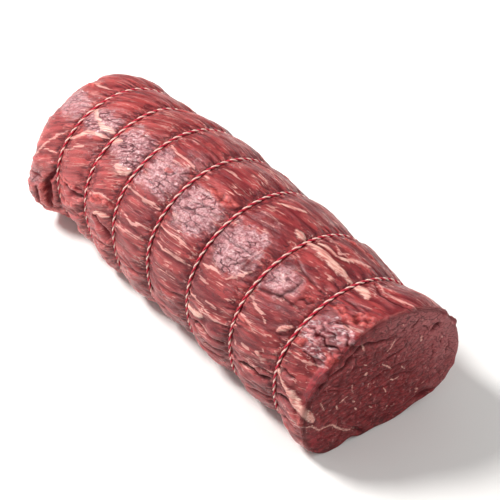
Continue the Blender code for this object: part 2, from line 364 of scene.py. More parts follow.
# Cracks in the cut face: width and depth in mm, and the places that each runs through
CRACKS = (
    (1.1, 1.3, (
        (-44, 67), (-36, 73), (-27, 76), (-23, 82), (-18, 87), (-13, 87), (-8, 84), (0, 82), (7, 82),
    )),
    (0.9, 0.9, ((16, 82), (20, 84), (22, 88))),
    (1.8, 1.5, ((32, 70), (35, 74), (38, 73))),
    (0.9, 0.9, ((-8, 51), (-4, 52), (-1, 52))),
    (0.8, 0.6, ((-12, 64), (0, 64), (12, 67))),
    (0.7, 0.5, ((-25, 66), (-20, 72), (-20, 80))),
    (0.7, 0.5, ((-30, 55), (-36, 60), (-42, 62))),
    (0.7, 0.5, ((-5, 53), (8, 55), (20, 51))),
    (0.7, 0.5, ((5, 46), (14, 44), (22, 40))),
    (0.7, 0.5, ((-14, 39), (-4, 41), (6, 38))),
    (0.7, 0.5, ((-30, 26), (-12, 28), (2, 24))),
    (0.7, 0.5, ((-46, 20), (-40, 16), (-32, 14))),
    (1.6, 2.2, ((-20, 12), (-16, 8), (-12, 3), (-11, 0))),
    (0.6, 0.5, ((33, 62), (35, 58), (34, 53), (36, 49), (34, 44))),
    (0.6, 0.5, ((39, 66), (42, 61), (40, 57), (42, 52))),
    (0.6, 0.5, ((45, 55), (47, 50), (45, 46), (46, 40))),
    (0.6, 0.4, ((27, 60), (29, 56), (28, 52))),
    (0.6, 0.4, ((38, 34), (42, 28), (44, 22))),
    (0.6, 0.5, ((25, 80), (28, 77), (30, 72), (29, 68))),
)

# Dimples in the cut face: half width, half height and depth in mm, and the middle
DIMPLES = (
    (7.0, 5.0, 2.6, (32, 10)),
    (3.0, 2.4, 1.0, (36, 72)),
    (5.0, 3.0, 1.2, (-24, 80)),
)

# Where the lower edge of the cut stands off the floor: mm along Y, half width and height
RAISED_EDGE = ((-21, 5, 4.2), (-3, 7, 1.5), (27, 9, 4.0))

# The camera, at the photograph's viewing angle
IMAGE_WIDTH = 500
FOCAL_PIXELS = 1200
CAMERA_AZIMUTH = math.radians(49.668)
CAMERA_ELEVATION = math.radians(47.0)
CAMERA_TARGET = Vector((-0.0005, 0.0183, 0.0282))
CAMERA_DISTANCE = 0.8
SENSOR_WIDTH = 36.0

# Light: direction, distance, width and power of each lamp
KEY = (Vector((-0.50, -0.30, 0.81)), 1.3, 0.34, 21.0)
FILL = (Vector((0.62, 0.50, 0.60)), 1.3, 1.0, 6.0)
FRONT = (Vector((-0.75, -0.65, 0.15)), 1.3, 0.9, 3.6)
LAMP_COLOUR = (1.0, 0.985, 0.97)
SKY_STRENGTH = 0.36
FLOOR_SIZE = 8.0
FLOOR_DROP = 0.0003

GENERATOR = np.random.default_rng(23)
SHUFFLED = np.tile(GENERATOR.permutation(256), 2)
SLOPES = GENERATOR.normal(size=(256, 3))
SLOPES /= np.linalg.norm(SLOPES, axis=1, keepdims=True)
SCATTER = GENERATOR.random((256, 3))


def between_stations(x, column):
    """A smooth curve through one column of the stations."""
    places = np.array([row[0] for row in STATIONS])
    values = np.array([row[column] for row in STATIONS])
    slopes = np.gradient(values, places)
    i = np.clip(np.searchsorted(places, x) - 1, 0, len(places) - 2)
    span = places[i + 1] - places[i]
    t = np.clip((x - places[i]) / span, 0.0, 1.0)
    start = (2 * t ** 3 - 3 * t ** 2 + 1) * values[i] + (t ** 3 - 2 * t ** 2 + t) * span * slopes[i]
    end = (3 * t ** 2 - 2 * t ** 3) * values[i + 1] + (t ** 3 - t ** 2) * span * slopes[i + 1]
    return start + end


def roundness(angle):
    """The cross-section's radius around it, as a share of the mean radius."""
    radius = np.ones_like(angle)
    for turns, (across, up) in WAVES.items():
        radius = radius + across * np.cos(turns * angle) + up * np.sin(turns * angle)
    return radius


def lowest_share():
    """The height of the cross-section's lowest point, as a share of the mean radius."""
    angle = np.linspace(-math.pi, 0.0, 721)
    return (roundness(angle) * np.sin(angle)).min()


LOWEST = lowest_share()


def smooth_max(a, b, width):
    """The larger of two values, rounded where they cross."""
    share = np.clip(0.5 + 0.5 * (a - b) / width, 0.0, 1.0)
    return a * share + b * (1 - share) + width * share * (1 - share)


def groove(x):
    """1 under a loop of twine and 0 away from it."""
    depth = np.zeros_like(x)
    for loop_x in LOOP_X:
        away = np.abs(x - loop_x)
        depth = np.maximum(depth, np.clip(1 - (away - SKIN_GROOVE_FLOOR) / SKIN_GROOVE_WALL, 0.0, 1.0))
    return depth * depth * (3 - 2 * depth)


def swelling(x):
    """1 half way between two loops of twine and 0 under them."""
    edges = np.array((FAR_X - 0.012,) + LOOP_X + (CUT_X + 0.030,))
    i = np.clip(np.searchsorted(edges, x) - 1, 0, len(edges) - 2)
    t = (x - edges[i]) / (edges[i + 1] - edges[i])
    return np.clip(1 - np.abs(2 * t - 1) ** 2.4, 0.0, 1.0)


def hill(value, middle, width):
    """1 where the value is at the middle, falling to 0 on both sides of it."""
    return np.exp(-((value - middle) / width) ** 2)


def degrees_from(angle, degrees):
    """How many degrees an angle in radians is from another, the short way round."""
    return np.degrees(np.angle(np.exp(1j * (angle - math.radians(degrees)))))


def relief(x, angle):
    """The sum of the lumps and hollows at a place on the skin."""
    height = np.zeros_like(angle)
    for _, place, degrees, reach, turn, lump in RELIEF:
        height = height + lump * hill(x, place, reach) * hill(degrees_from(angle, degrees), 0, turn)
    return height


def lay(x, angle, lift, floor, inset):
    """Points round one section, raised by lift and settled on the floor."""
    radius = between_stations(x, 1)
    reach = (radius * roundness(angle) + lift) * inset
    y = reach * np.cos(angle)
    z = reach * np.sin(angle) - radius * LOWEST - SETTLED
    z = smooth_max(z, floor, CORNER)
    turned = between_stations(x, 2) * y + between_stations(x, 3) * (z - radius)
    return np.stack([x + turned, y, z], axis=-1)


def meat_points(x, angle, inset):
    """Points on the meat's skin, or inside its ends where inset is below 1."""
    pressed = groove(x)
    under_twine = TWINE_THICKNESS / 2 + SKIN_CLEARANCE
    lift = relief(x, angle) + BULGE * swelling(x) * (1 - pressed) - under_twine * pressed
    return lay(x, angle, lift, GROOVE_HEIGHT * pressed, inset)


def noise(points, size, shift=0.0):
    """Smooth lumps about as large as size, from about -1 to 1."""
    place = points / size + shift
    corner = np.floor(place).astype(int)
    inside = place - corner
    fade = inside ** 3 * (inside * (inside * 6 - 15) + 10)
    total = np.zeros(points.shape[:-1])
    for step in itertools.product((0, 1), repeat=3):
        key = np.zeros(points.shape[:-1], dtype=int)
        weight = np.ones(points.shape[:-1])
        for axis in range(3):
            key = SHUFFLED[(key + corner[..., axis] + step[axis]) & 255]
            weight = weight * (fade[..., axis] if step[axis] else 1 - fade[..., axis])
        total += weight * (SLOPES[key] * (inside - step)).sum(axis=-1)
    return total * 1.6


def layered(points, size, layers=3, shift=0.0):
    """Noise with finer noise on it."""
    return sum(noise(points, size / 2 ** i, shift + 7.3 * i) / 2 ** i for i in range(layers))


def cells(points, size):
    """How far each point is from the middle of its cell and from the cell's edge, as shares of size."""
    place = points / size
    corner = np.floor(place).astype(int)
    nearest = np.full(points.shape[:-1], 9.0)
    second = nearest.copy()
    for step in itertools.product((-1, 0, 1), repeat=3):
        key = np.zeros(points.shape[:-1], dtype=int)
        for axis in range(3):
            key = SHUFFLED[(key + corner[..., axis] + step[axis]) & 255]
        away = np.linalg.norm(corner + step + SCATTER[key] - place, axis=-1)
        second = np.minimum(second, np.maximum(nearest, away))
        nearest = np.minimum(nearest, away)
    return nearest, second - nearest


def lengths_along(points):
    """How far each point is from the first, along the line through them."""
    return np.concatenate([[0], np.cumsum(np.linalg.norm(np.diff(points, axis=0), axis=1))])


def run_along(u, v, points, width):
    """1 on a line through the points and falling to 0 beside it, with tapering ends."""
    best = np.zeros_like(u)
    points = np.array(points, dtype=float)
    lengths = lengths_along(points)
    for i in range(len(points) - 1):
        start, step = points[i], points[i + 1] - points[i]
        t = np.clip(((u - start[0]) * step[0] + (v - start[1]) * step[1]) / (step @ step), 0.0, 1.0)
        away = np.hypot(u - start[0] - t * step[0], v - start[1] - t * step[1])
        along = (lengths[i] + t * (lengths[i + 1] - lengths[i])) / lengths[-1]
        taper = 0.35 + 0.65 * np.sqrt(np.clip(4 * along * (1 - along), 0.0, 1.0))
        best = np.maximum(best, hill(away, 0, width * taper))
    return best


def smooth_step(value, low, high):
    """0 below low and 1 above high, with a smooth rise between them."""
    t = np.clip((value - low) / (high - low), 0.0, 1.0)
    return t * t * (3 - 2 * t)


def meat_rows():
    """Place and inset of every row of the meat, and how much each belongs to the skin."""
    flat = np.linspace(0.0, CUT_FLAT, FACE_ROWS + 1)[1:]
    turn = np.linspace(0.0, math.pi / 2, RIM_ROWS + 1)[1:]
    far = np.linspace(0.0, math.pi / 2, TURN_ROWS + 1)[1:]
    cap = np.linspace(1.0, 0.0, CAP_ROWS + 1)[1:-1]
    x = np.concatenate([
        np.full(FACE_ROWS, CUT_X),
        CUT_X - CUT_ROUNDING * (1 - np.cos(turn)),
        np.linspace(CUT_X - CUT_ROUNDING, FAR_X + FAR_ROUNDING, SKIN_ROWS + 1)[1:],
        FAR_X + FAR_ROUNDING * (1 - np.sin(far)),
        FAR_X - FAR_DOME * (1 - cap ** 2),
    ])
    inset = np.concatenate([
        flat,
        CUT_FLAT + (1 - CUT_FLAT) * np.sin(turn),
        np.ones(SKIN_ROWS),
        FAR_CAP + (1 - FAR_CAP) * np.cos(far),
        FAR_CAP * cap,
    ])
    skin = np.concatenate([
        np.zeros(FACE_ROWS),
        smooth_step(np.linspace(0, 1, RIM_ROWS), 0.2, 1.0),
        np.ones(SKIN_ROWS + TURN_ROWS + len(cap)),
    ])
    return x, inset, skin


def meat_angles():
    """The angle of every column, closest together on the side that shows most."""
    turn = np.linspace(0.0, 2 * math.pi, 4001)
    share = turn + FINENESS * (np.sin(turn - math.radians(FINEST_SIDE)) + math.sin(math.radians(FINEST_SIDE)))
    return np.interp(np.arange(COLUMNS) / COLUMNS * 2 * math.pi, share, turn)


def grid_normals(points):
    """Outward normals of a grid that closes on itself along its second axis."""
    down = np.gradient(points, axis=0)
    beside = np.roll(points, -1, axis=1) - np.roll(points, 1, axis=1)
    normal = np.cross(down, beside)
    normal /= np.maximum(np.linalg.norm(normal, axis=-1, keepdims=True), 1e-12)
    centre = points.mean(axis=(0, 1))
    if ((points - centre) * normal).sum() < 0:
        normal = -normal
    return normal


def fibre_turn(x):
    """How far the fibres have wound round the joint at a place along it."""
    places = (-0.150, -0.050, 0.020, 0.065, 0.150)
    degrees = (0.0, -52.0, -60.0, -68.0, -92.0)
    return np.radians(np.interp(x, places, degrees))


class Meat:
    """The meat's grid of points, its relief in millimetres and the masks that its material reads."""

    def __init__(self):
        row_x, row_inset, row_skin = meat_rows()
        self.x, self.angle = np.meshgrid(row_x, meat_angles(), indexing="ij")
        self.inset = np.repeat(row_inset[:, None], COLUMNS, axis=1)
        self.skin = np.repeat(row_skin[:, None], COLUMNS, axis=1)
        self.points = meat_points(self.x, self.angle, self.inset)
        self.normals = grid_normals(self.points)
        self.height = np.zeros_like(self.x)
        self.masks = {}
        self.lay_grain()
        self.lay_places()

    def lay_grain(self):
        """The fibres' space: it winds round the joint on the skin and is straight on the cut face."""
        inside = (1 - self.inset) * (self.x < 0.0)
        turn = self.angle - fibre_turn(self.x) + 2.2 * inside * noise(self.points, 0.030, 6.6)
        whole = 1 - np.minimum(inside, 0.5)
        radius = np.hypot(self.points[..., 1], self.points[..., 2] - 0.05) / whole
        run = self.x - 0.052 * inside
        wound = np.stack([run, radius * np.cos(turn), radius * np.sin(turn)], axis=-1)
        skin = self.skin[..., None]
        self.grain = wound * skin + self.points * (1 - skin)

    def lay_places(self):
        """Wandering places in mm, on the skin and on the cut face, for the lines that are drawn there."""
        wander_u = noise(self.points, 0.011, 3.1) * 1.5 + noise(self.points, 0.004, 9.7) * 0.6
        wander_v = noise(self.points, 0.010, 5.9) * 1.2 + noise(self.points, 0.0035, 1.7) * 0.5
        self.u = self.x / MM + wander_u
        self.v = np.degrees(self.angle) * MM_PER_DEGREE + wander_v
        self.face_y = self.points[..., 1] / MM + 0.4 * wander_u
        self.face_z = self.points[..., 2] / MM + 0.4 * wander_v

    def along(self, points, width):
        """A line on the skin, also where it crosses the back."""
        points = [(x, degrees * MM_PER_DEGREE) for x, degrees in points]
        whole = 360 * MM_PER_DEGREE
        v = self.v - whole * (self.v > 270 * MM_PER_DEGREE)
        return run_along(self.u, v, points, width) * smooth_step(self.skin, 0.0, 0.5)

    def across_face(self, points, width):
        """A line on the cut face."""
        return run_along(self.face_y, self.face_z, points, width)

    def stretched(self, across, along):
        """The grain's space, so that noise in it is drawn out along the fibres."""
        return self.grain * np.array([across / along, 1.0, 1.0])

    def add(self, name, mask):
        """Adds a mask to those of its name, where it is the larger."""
        self.masks[name] = np.maximum(self.masks.get(name, 0.0), mask)


def shape_fibres(meat):
    """Muscle bundles and fibres along the skin, puckers beside the twine and a wrinkled low front, with masks
    for painted shade and painted light.
    """
    wide = np.abs(noise(meat.stretched(7, 40), 0.0075, 2.2))
    narrow = np.abs(noise(meat.stretched(3.2, 24), 0.0034, 5.1))
    strand = layered(meat.stretched(1.8, 14), 0.0019, 2, 4.4)
    lumps = noise(meat.points, 0.014, 8.1)
    meat.height += meat.skin * (1.1 * wide + 0.4 * narrow + 0.10 * strand + 0.5 * lumps - 0.45)
    nearest = np.min([np.abs(meat.x - loop_x) for loop_x in LOOP_X], axis=0)
    beside = hill(nearest, 0.0036, 0.0038)
    folds = np.abs(noise(meat.stretched(4.0, 16), 0.0046, 6.6))
    meat.height += meat.skin * beside * (1.8 * folds - 0.5)
    low = hill(degrees_from(meat.angle, 200), 0, 34) * meat.skin
    wrinkles = np.abs(noise(meat.points * np.array([0.35, 1.0, 1.0]), 0.0060, 1.9))
    meat.height += low * (1.5 * swelling(meat.x) - 1.0 + 1.9 * wrinkles)
    # Valleys between bundles, in the folds beside the twine and in the low front's wrinkles: the material
    # paints them darker as painted shade.
    painted_valley_shade = 0.5 * hill(wide, 0, 0.10) + 0.4 * hill(narrow, 0, 0.12)
    painted_valley_shade += 0.6 * beside * hill(folds, 0, 0.12) + 0.7 * low * hill(wrinkles, 0, 0.09)
    meat.add("painted_valley_shade", meat.skin * np.clip(painted_valley_shade, 0.0, 1.0))
    # Beside the twine, where the material draws dark fold lines as painted shade.
    meat.add("painted_fold_shade", meat.skin * hill(nearest, 0.003, 0.006))
    # A lighter, pinker tone towards the far end. Along the low front and the lowest front it is raised
    # further as painted light, lifting their shade.
    far = smooth_step(-meat.x, -0.005, 0.110) * (1 + 0.9 * low)
    painted_light_low_front = hill(degrees_from(meat.angle, 208), 0, 14)
    meat.add("far", meat.skin * (far + 0.8 * painted_light_low_front))


def shape_silverskin(meat):
    """Patches of silverskin, flatter and cracked into cells, with ragged edges."""
    silver = np.zeros_like(meat.x)
    ragged = 0.30 * noise(meat.points, 0.012, 3.7) + 0.22 * layered(meat.points, 0.0045, 3, 6.1)
    for (x, degrees), length, width, strength in SILVERSKIN:
        across = np.abs(meat.v - degrees * MM_PER_DEGREE) / (width * MM_PER_DEGREE)
        away = (np.abs((meat.u - x) / length) ** 3 + across ** 3) ** (1 / 3)
        silver = np.maximum(silver, strength * smooth_step(-away - ragged, -1.15, -0.40))
    silver *= meat.skin
    _, edge = cells(meat.stretched(3.0, 4.2), 0.0046)
    wrinkle = layered(meat.stretched(1.6, 4.0), 0.0024, 2, 3.3)
    meat.height *= 1 - 0.45 * silver
    meat.height += silver * (0.2 - 0.28 * hill(edge, 0, 0.11) + 0.26 * wrinkle)
    meat.add("silver", silver)


def shape_lines(meat):
    """Rounded folds, fat, torn meat and creases, each along its own line."""
    for width, height, points in FOLDS:
        meat.height += height * meat.along(points, width)
    for width, height, points in FAT:
        line = meat.along(points, max(width * FAT_SPREAD, THINNEST))
        meat.add("streak" if width < THIN_STREAK else "fat", line)
        meat.height += height * 0.8 * smooth_step(line, 0.25, 0.75)
    middle, edge = cells(meat.points * np.array([0.6, 1.0, 1.0]), 0.0034)
    for width, height, points in TORN:
        line = meat.along(points, width)
        meat.add("torn", line)
        # Gaps between the torn lumps get painted shade.
        meat.add("painted_deep_shade", 0.65 * smooth_step(line, 0.3, 0.8) * hill(edge, 0, 0.13))
        meat.height += height * smooth_step(line, 0.15, 0.7) * (2.2 - 3.6 * middle)
    for width, depth, points in CREASES:
        line = meat.along(points, width)
        # Creases get painted shade, more of it the deeper they are.
        meat.add("painted_deep_shade", line * min(1.0, 0.35 + 0.4 * depth))
        meat.height -= depth * line
        meat.height += 0.3 * depth * (meat.along(points, width * 2.4) - line)


def shape_tangle(meat):
    """The tangle of wet sinew on top, beside the cut."""
    area = np.max([meat.along(points, width) for width, points in TANGLE], axis=0)
    area = smooth_step(area + 0.5 * layered(meat.points, 0.005, 2, 5.2), 0.25, 0.75)
    wander = np.stack([noise(meat.points, 0.007, shift) for shift in (0.4, 3.8, 6.9)], axis=-1)
    twist = meat.grain + 0.002 * wander
    curl = np.abs(layered(twist * np.array([0.36, 1.0, 1.0]), 0.0052, 3, 2.9))
    fine = np.abs(noise(twist * np.array([0.42, 1.0, 1.0]), 0.0020, 7.1))
    gap = np.maximum(hill(curl, 0, 0.06), 0.4 * hill(fine, 0, 0.07))
    meat.height += area * (0.9 * curl + 0.7 * fine - 0.5 * gap - 0.2)
    # Gaps in the tangle get painted shade.
    meat.add("painted_deep_shade", 0.34 * area * gap)
    meat.add("tangle", area)
    meat.add("curl", area * smooth_step(curl + fine, 0.55, 1.00))


def shape_cut_face(meat):
    """The cut face: its grain, seams of fat, cracks and dimples."""
    flat = 1 - meat.skin
    inner = flat * smooth_step(-meat.inset, -0.97, -0.80)
    lumps = 0.6 * noise(meat.points, 0.018, 4.0) + 0.25 * layered(meat.points, 0.0040, 2, 1.1)
    _, edge = cells(meat.points * np.array([1.0, 0.6, 1.0]), 0.0036)
    meat.height += inner * (lumps + 0.25 - 0.40 * hill(edge, 0, 0.14))
    for width, height, points in SEAMS:
        line = meat.across_face(points, max(width * 0.85, 0.6)) * smooth_step(flat, 0.0, 0.5)
        meat.add("fat", line)
        meat.height += height * line
    for width, depth, points in CRACKS:
        line = meat.across_face(points, width) * flat
        # Cracks get painted shade.
        meat.add("painted_deep_shade", 0.8 * line)
        meat.height -= depth * line
    for half_y, half_z, depth, (y, z) in DIMPLES:
        away = np.hypot((meat.face_y - y) / half_y, (meat.face_z - z) / half_z)
        hollow = np.exp(-away ** 2.4) * flat
        # Dimples get painted shade.
        meat.add("painted_deep_shade", 0.55 * hollow)
        meat.height -= depth * hollow
    # The upper right of the cut face, which the material paints lighter as a painted sheen.
    bright = 0.9 * meat.points[..., 1] + 0.6 * meat.points[..., 2]
    meat.add("painted_sheen", flat * smooth_step(bright, 0.030, 0.080))
    meat.add("face", flat)


def shape_rim(meat):
    """The ragged rim of the cut, the raw band beside it and the red lobe at its lower corner."""
    degrees = np.degrees(meat.angle)
    ragged = np.clip(0.40 + 1.7 * layered(meat.points, 0.0065, 3, 7.7), 0.0, 1.4)
    rim = hill(meat.inset, 0.992, 0.006 + 0.030 * ragged)
    rim *= smooth_step(meat.x, CUT_X - 0.006, CUT_X - 0.002)
    high = 0.8 + sum(height * hill(degrees, place, turn) for place, turn, height in RIM_LUMPS)
    high *= 1 - 0.7 * hill(degrees, 192, 20)
    meat.height += rim * high * (ragged - 0.25)
    reach = 0.0070 + 0.0025 * noise(meat.points, 0.009, 6.3)
    band = smooth_step(meat.x, CUT_X - reach - 0.0008, CUT_X - reach + 0.0008)
    band *= np.exp(-((degrees - 152) / 17) ** 4) * smooth_step(meat.skin, 0.0, 0.5)
    meat.height += 0.8 * band
    lobe = hill(meat.face_y, -46, 10) * hill(meat.face_z, 20, 15) * (1 - meat.skin)
    meat.add("rim", rim * np.clip(ragged * high * 0.7, 0.0, 1.0) * (1 - 0.8 * hill(degrees, 194, 18)))
    meat.add("rim", 0.6 * lobe)
    meat.add("rim", band)


def shape_far_end(meat):
    """The rough rounded end of muscle at -X, with a few wandering creases."""
    end = smooth_step(-meat.x, 0.128, 0.146)
    lumps = noise(meat.points, 0.026, 2.7)
    gap = hill(lumps + 0.12 * noise(meat.points, 0.006, 8.2), 0, 0.055)
    gap *= smooth_step(noise(meat.points, 0.018, 4.9), -0.25, 0.35)
    meat.height += end * (3.0 * lumps + 1.0 * noise(meat.points, 0.010, 5.5) - 2.0 * gap)
    # Gaps at the far end get painted shade.
    meat.add("painted_deep_shade", 0.7 * end * gap)
    meat.masks["far"] *= 1 - 0.8 * end * smooth_step(-meat.inset, -0.98, -0.80)


def blurred(values, times):
    """A grid of values, averaged with its neighbours a number of times."""
    for _ in range(times):
        values = (2 * values + np.roll(values, 1, axis=1) + np.roll(values, -1, axis=1)) / 4
        padded = np.pad(values, ((1, 1), (0, 0)), mode="edge")
        values = (2 * values + padded[:-2] + padded[2:]) / 4
    return values


def hold_bounds(meat):
    """Relief fades out under the twine and underneath, and what is left gives two more masks: hollows for
    painted shade and ridges for painted highlights.
    """
    pressed = groove(meat.x) * meat.skin
    underneath = smooth_step(-meat.points[..., 2], -0.010, -0.001)
    meat.height *= (1 - 0.85 * pressed) * (1 - underneath)
    meat.height = np.clip(meat.height, DEEPEST, TALLEST)
    proud = meat.height - blurred(meat.height, 10)
    # Hollows below the blurred relief get painted shade, and ridges above it get a painted highlight.
    meat.add("hollow", np.clip(-proud / 0.45, 0.0, 1.0))
    meat.add("painted_ridge_highlight", np.clip(proud / 0.55, 0.0, 1.0))


def raised_edge(points):
    """How far the lower edge of the cut stands off the floor."""
    rise = np.zeros(points.shape[:-1])
    for y, half_width, height in RAISED_EDGE:
        rise += height * hill(points[..., 1] / MM, y, half_width)
    beside_cut = smooth_step(points[..., 0], CUT_X - 0.016, CUT_X - 0.001)
    return rise * MM * beside_cut * smooth_step(-points[..., 2], -0.016, -0.001)


def with_ends(grid):
    """A grid's values in one list, followed by the means of its first and last rows."""
    ends = [grid[0].mean(axis=0), grid[-1].mean(axis=0)]
    return np.concatenate([grid.reshape(-1, *grid.shape[2:]), ends])


def closed_faces(rows, columns):
    """Faces over a grid that wraps round, with a fan to a point at each end."""
    index = np.arange(rows * columns).reshape(rows, columns)
    beside = np.roll(index, -1, axis=1)
    quads = np.stack([index[:-1], index[1:], beside[1:], beside[:-1]], axis=-1).reshape(-1, 4)
    start = np.stack([index[0], beside[0], np.full(columns, rows * columns)], axis=-1)
    end = np.stack([beside[-1], index[-1], np.full(columns, rows * columns + 1)], axis=-1)
    return quads.tolist() + start.tolist() + end.tolist()


def add_object(name, data):
    """An object in the scene, made from a mesh, a lamp or a camera."""
    thing = bpy.data.objects.new(name, data)
    bpy.context.scene.collection.objects.link(thing)
    return thing


def add_mesh(name, points, faces, materials):
    """A smooth object from points, faces and materials."""
    mesh = bpy.data.meshes.new(name)
    mesh.from_pydata(points.tolist(), [], faces)
    for material in materials:
        mesh.materials.append(material)
    mesh.shade_smooth()
    mesh.update()
    return add_object(name, mesh)


def write_attribute(thing, name, values):
    """Numbers or vectors for a material to read, one for each point of the mesh."""
    kind, key = ("FLOAT", "value") if values.ndim == 1 else ("FLOAT_VECTOR", "vector")
    attribute = thing.data.attributes.new(name, kind, "POINT")
    attribute.data.foreach_set(key, values.astype(np.float32).ravel())


def make_meat(middle, material):
    """The joint of meat, with its relief standing off the smooth form."""
    meat = Meat()
    shape_fibres(meat)
    shape_silverskin(meat)
    shape_lines(meat)
    shape_tangle(meat)
    shape_cut_face(meat)
    shape_rim(meat)
    shape_far_end(meat)
    hold_bounds(meat)
    points = meat.points + meat.normals * meat.height[..., None] * MM
    points[..., 2] += raised_edge(points)
    points[..., 2] = np.maximum(points[..., 2], 0.0)
    thing = add_mesh("meat", with_ends(points - middle), closed_faces(*meat.x.shape), [material])
    for name, mask in meat.masks.items():
        write_attribute(thing, name, with_ends(mask))
    write_attribute(thing, "grain", with_ends(meat.grain))
    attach(thing, "root")
    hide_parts("beef")


def twine_line(loop_x):
    """The middle line of one loop of twine, evenly spaced, and its length."""
    angle = np.linspace(0.0, 2 * math.pi, 1441)
    x = np.full_like(angle, loop_x)
    points = lay(x, angle, relief(x, angle), TWINE_HEIGHT, 1.0)
    run = lengths_along(points)
    even = np.linspace(0.0, run[-1], TWINE_STEPS + 1)[:-1]
    return np.stack([np.interp(even, run, points[:, axis]) for axis in range(3)], axis=-1), run[-1]


def spokes(line, angle):
    """Unit vectors across a closed line, at a row of angles for each of its points."""
    tangent = np.roll(line, -1, axis=0) - np.roll(line, 1, axis=0)
    tangent /= np.linalg.norm(tangent, axis=1, keepdims=True)
    side = np.cross(tangent, np.array([1.0, 0.0, 0.0]))
    side /= np.linalg.norm(side, axis=1, keepdims=True)
    other = np.cross(tangent, side)
    return side[:, None] * np.cos(angle)[..., None] + other[:, None] * np.sin(angle)[..., None]


def strand_rings(line, phase, strand):
    """Rings of points round one strand, which winds round the loop's middle line."""
    thickness, away = STRANDS[strand]
    turned = phase[:, None] + strand * math.pi
    centre = line + away * spokes(line, turned)[:, 0]
    return centre[:, None] + thickness / 2 * spokes(centre, turned + SIDE_ANGLES)


def make_twine(number, loop_x, middle, materials):
    """One loop: a red and a cream strand laid round each other."""
    line, length = twine_line(loop_x)
    run = np.arange(TWINE_STEPS) / TWINE_STEPS
    phase = run * 2 * math.pi * round(length / LAY_LENGTH) + number * LAY_START
    points = np.stack([strand_rings(line, phase, strand) for strand in range(len(STRANDS))])
    index = np.arange(points[..., 0].size).reshape(points.shape[:-1])
    beside = np.roll(index, -1, axis=2)
    ahead = np.roll(index, -1, axis=1)
    faces = np.stack([index, beside, np.roll(ahead, -1, axis=2), ahead], axis=-1).reshape(-1, 4)
    points = (points - middle).reshape(-1, 3)
    loop = add_mesh(f"twine_loop_{number}", points, faces.tolist(), materials)
    kind = np.repeat(np.arange(len(STRANDS)), TWINE_STEPS * STRAND_SIDES)
    loop.data.polygons.foreach_set("material_index", kind.astype(np.int32))
    along, turn = np.meshgrid(run * length, SIDE_ANGLES, indexing="ij")
    yarn = np.stack([along, np.cos(turn), np.sin(turn)], axis=-1)
    write_attribute(loop, "yarn", np.tile(yarn.reshape(-1, 3), (len(STRANDS), 1)))
    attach(loop, "root")
    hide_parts(f"twine_{number}")


def colour(red, green, blue):
    """A colour as the eye sees it, from 0 to 255, in Blender's linear values."""
    values = [channel / 255 for channel in (red, green, blue)]
    linear = [v / 12.92 if v <= 0.04045 else ((v + 0.055) / 1.055) ** 2.4 for v in values]
    return (*linear, 1.0)


class Surface:
    """A node material, with a short call for each kind of node."""

    def __init__(self, name):
        self.material = bpy.data.materials.new(name)
        self.material.use_nodes = True
        self.tree = self.material.node_tree
        self.shader = self.tree.nodes["Principled BSDF"]

    def plug(self, socket, value):
        """Links a socket to another one, or sets it to a value."""
        if isinstance(value, bpy.types.NodeSocket):
            self.tree.links.new(value, socket)
        else:
            socket.default_value = value

    def set(self, **values):
        """Plugs values into the shader, by the names of its sockets."""
        for name, value in values.items():
            self.plug(self.shader.inputs[name.replace("_", " ")], value)

    def node(self, kind, output, inputs, **settings):
        """Adds a node with its settings and inputs, and gives one of its outputs."""
        node = self.tree.nodes.new("ShaderNode" + kind)
        for name, value in settings.items():
            setattr(node, name, value)
        for key, value in inputs.items():
            self.plug(node.inputs[key], value)
        return node.outputs[output]

    def attribute(self, name, output="Fac"):
        return self.node("Attribute", output, {}, attribute_name=name)

    def stretch(self, vector, scale):
        return self.node("VectorMath", "Vector", {0: vector, 1: scale}, operation="MULTIPLY")

    def noise(self, vector, scale, detail=3.0, roughness=0.55):
        inputs = {"Vector": vector, "Scale": scale, "Detail": detail, "Roughness": roughness}
        return self.node("TexNoise", "Fac", inputs)

    def cell_edges(self, vector, scale):
        """How far each place is from the edge of its cell."""
        inputs = {"Vector": vector, "Scale": scale}
        return self.node("TexVoronoi", "Distance", inputs, feature="DISTANCE_TO_EDGE")

    def wobble(self, vector, scale, amount):
        """A vector pushed about by noise, so that what is drawn in it wanders."""
        push = self.node("TexNoise", "Color", {"Vector": vector, "Scale": scale})
        inputs = {0: push, 1: (amount, amount, amount), 2: vector}
        return self.node("VectorMath", "Vector", inputs, operation="MULTIPLY_ADD")

    def reckon(self, operation, a, b=0.0):
        return self.node("Math", "Value", {0: a, 1: b}, operation=operation)

    def times(self, a, b):
        return self.reckon("MULTIPLY", a, b)

    def plus(self, a, b):
        return self.reckon("ADD", a, b)

    def minus(self, a, b):
        return self.reckon("SUBTRACT", a, b)

    def larger(self, a, b):
        return self.reckon("MAXIMUM", a, b)

    def between(self, value, low, high, start=0.0, end=1.0):
        """A smooth step from start to end, as the value goes from low to high."""
        inputs = {"Value": value, "From Min": low, "From Max": high, "To Min": start, "To Max": end}
        return self.node("MapRange", "Result", inputs, interpolation_type="SMOOTHSTEP")

    def fall(self, value, low, high):
        """1 where the value is below low, and 0 where it is above high."""
        return self.between(value, low, high, 1.0, 0.0)

    def lines(self, noise, width):
        """1 on thin wandering lines through a noise and 0 beside them."""
        return self.fall(self.reckon("ABSOLUTE", self.minus(noise, 0.5)), width * 0.35, width)

    def roughened(self, mask, texture, amount):
        """A soft mask with its edge broken up by a texture."""
        return self.plus(mask, self.times(self.minus(texture, 0.5), amount))

    def mix(self, share, a, b):
        """Two colours mixed, by the share of the second."""
        return self.node("Mix", 2, {0: share, 6: a, 7: b}, data_type="RGBA")

    def over(self, base, mask, weight, paint):
        """A colour laid over another, by a mask and a weight."""
        return self.mix(self.times(mask, weight), base, paint)

    def bump(self, height, distance, strength=1.0):
        inputs = {"Height": height, "Distance": distance, "Strength": strength}
        return self.node("Bump", "Normal", inputs)


